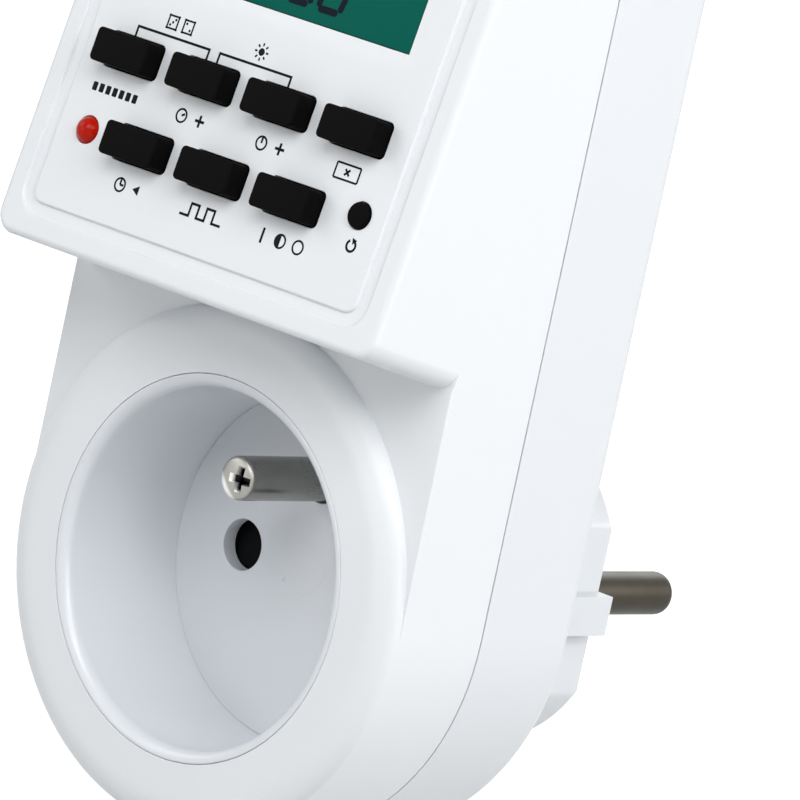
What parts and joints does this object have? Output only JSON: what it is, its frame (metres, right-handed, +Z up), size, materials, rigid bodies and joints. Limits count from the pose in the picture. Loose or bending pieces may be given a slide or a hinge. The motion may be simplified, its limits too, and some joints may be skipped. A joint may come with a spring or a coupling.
{
  "type": "plug-in timer switch",
  "caption": "Plug-in programmable timer: a plug at the back, a shuttered socket with an earth pin in front, and a tilted panel with display and keys above.",
  "frame": {"origin": "midway between the two plug pins on the plug's engagement face", "axes": "+X right seen from the front, +Y back into the wall along the plug pins, +Z up"},
  "size_m": [0.0564, 0.0776, 0.1169],
  "materials": {
    "shell_white": "glossy moulded",
    "cup_white": "glossy moulded",
    "block_ivory": "matt moulded",
    "shutter_black": "matt moulded",
    "key_rubber": "matt rubber",
    "zebra_rubber": "matt rubber",
    "pin_nickel": "nickel plated",
    "contact_brass": "bare stamped",
    "spring_steel": "bare",
    "cell_steel": "satin",
    "screw_steel": "zinc plated",
    "relay_iron": "bare iron",
    "coil_copper": "enamelled wire",
    "display_teal": "clear over liquid crystal",
    "frame_grey": "matt moulded",
    "led_red": "clear tinted",
    "board_green": "lacquered",
    "board_tan": "lacquered",
    "chip_black": "moulded",
    "relay_blue": "moulded",
    "capacitor_yellow": "moulded",
    "capacitor_navy": "sleeved",
    "resistor_beige": "lacquered",
    "varistor_blue": "lacquered",
    "fuse_brown": "moulded",
    "ribbon_grey": "insulation",
    "wire_brown": "insulation",
    "wire_black": "insulation",
    "wire_blue": "insulation"
  },
  "bodies": {
    "housing": {"front_shell": "shell_white", "rear_shell": "shell_white", "plug_boss": "shell_white", "socket_cup": "cup_white", "contact_block": "block_ivory", "shutter_spring": "spring_steel", "live_contact": "contact_brass", "neutral_contact": "contact_brass", "earth_pin": "pin_nickel", "earth_sleeve": "contact_brass", "earth_strip": "contact_brass", "plug_pin_left": "pin_nickel", "plug_pin_right": "pin_nickel", "lcd_window": "display_teal", "lcd_glass": "display_teal", "lcd_frame": "frame_grey", "zebra_strips": "zebra_rubber", "keypad_mat": "key_rubber", "reset_switch": "chip_black", "status_led": "led_red", "logic_board": "board_green", "control_chip": "chip_black", "crystal": "spring_steel", "backup_battery": "cell_steel", "battery_tabs": "spring_steel", "power_board": "board_tan", "relay_base": "chip_black", "relay_cover": "relay_blue", "relay_coil": "coil_copper", "relay_yoke": "relay_iron", "relay_fixed_contact": "contact_brass", "film_capacitor": "capacitor_yellow", "smoothing_capacitor": "capacitor_navy", "rectifier_diodes": "chip_black", "resistors": "resistor_beige", "varistor": "varistor_blue", "fuse": "fuse_brown", "drive_transistor": "chip_black", "ribbon_cable": "ribbon_grey", "live_in_wire": "wire_brown", "live_out_wire": "wire_black", "neutral_wire": "wire_blue", "case_screws": "screw_steel", "logic_screws": "screw_steel", "power_screws": "screw_steel"},
    "key_week": {"key_week": "key_rubber"},
    "key_hour": {"key_hour": "key_rubber"},
    "key_minute": {"key_minute": "key_rubber"},
    "key_clear": {"key_clear": "key_rubber"},
    "key_clock": {"key_clock": "key_rubber"},
    "key_timer": {"key_timer": "key_rubber"},
    "key_mode": {"key_mode": "key_rubber"},
    "reset_button": {"reset_button": "key_rubber"},
    "shutter": {"safety_shutter": "shutter_black"},
    "armature": {"relay_armature": "relay_iron", "relay_moving_contact": "contact_brass"}
  },
  "joints": [
    {"name": "key_week_press", "type": "slide", "parent": "housing", "child": "key_week", "axis": [0, 0.9803, -0.1977], "range_m": [0, 0.0009], "stiffness_N_per_m": 1200, "springref_m": -0.0003, "deforming": ["keypad_mat"]},
    {"name": "key_hour_press", "type": "slide", "parent": "housing", "child": "key_hour", "axis": [0, 0.9803, -0.1977], "range_m": [0, 0.0009], "stiffness_N_per_m": 1200, "springref_m": -0.0003, "deforming": ["keypad_mat"]},
    {"name": "key_minute_press", "type": "slide", "parent": "housing", "child": "key_minute", "axis": [0, 0.9803, -0.1977], "range_m": [0, 0.0009], "stiffness_N_per_m": 1200, "springref_m": -0.0003, "deforming": ["keypad_mat"]},
    {"name": "key_clear_press", "type": "slide", "parent": "housing", "child": "key_clear", "axis": [0, 0.9803, -0.1977], "range_m": [0, 0.0009], "stiffness_N_per_m": 1200, "springref_m": -0.0003, "deforming": ["keypad_mat"]},
    {"name": "key_clock_press", "type": "slide", "parent": "housing", "child": "key_clock", "axis": [0, 0.9803, -0.1977], "range_m": [0, 0.0009], "stiffness_N_per_m": 1200, "springref_m": -0.0003, "deforming": ["keypad_mat"]},
    {"name": "key_timer_press", "type": "slide", "parent": "housing", "child": "key_timer", "axis": [0, 0.9803, -0.1977], "range_m": [0, 0.0009], "stiffness_N_per_m": 1200, "springref_m": -0.0003, "deforming": ["keypad_mat"]},
    {"name": "key_mode_press", "type": "slide", "parent": "housing", "child": "key_mode", "axis": [0, 0.9803, -0.1977], "range_m": [0, 0.0009], "stiffness_N_per_m": 1200, "springref_m": -0.0003, "deforming": ["keypad_mat"]},
    {"name": "reset_press", "type": "slide", "parent": "housing", "child": "reset_button", "axis": [0, 0.9803, -0.1977], "range_m": [0, 0.00035], "stiffness_N_per_m": 1500, "springref_m": -0.0002},
    {"name": "shutter_slide", "type": "slide", "parent": "housing", "child": "shutter", "axis": [0, 0, -1], "range_m": [0, 0.0066], "stiffness_N_per_m": 60, "springref_m": -0.004, "deforming": ["shutter_spring"]},
    {"name": "relay_armature_swing", "type": "hinge", "parent": "housing", "child": "armature", "pos_m": [-0.0184, -0.03425, 0.048], "axis": [0, 0, 1], "range_deg": [0, 3.2], "stiffness_Nm_per_rad": 0.01, "springref_deg": -5.73}
  ]
}
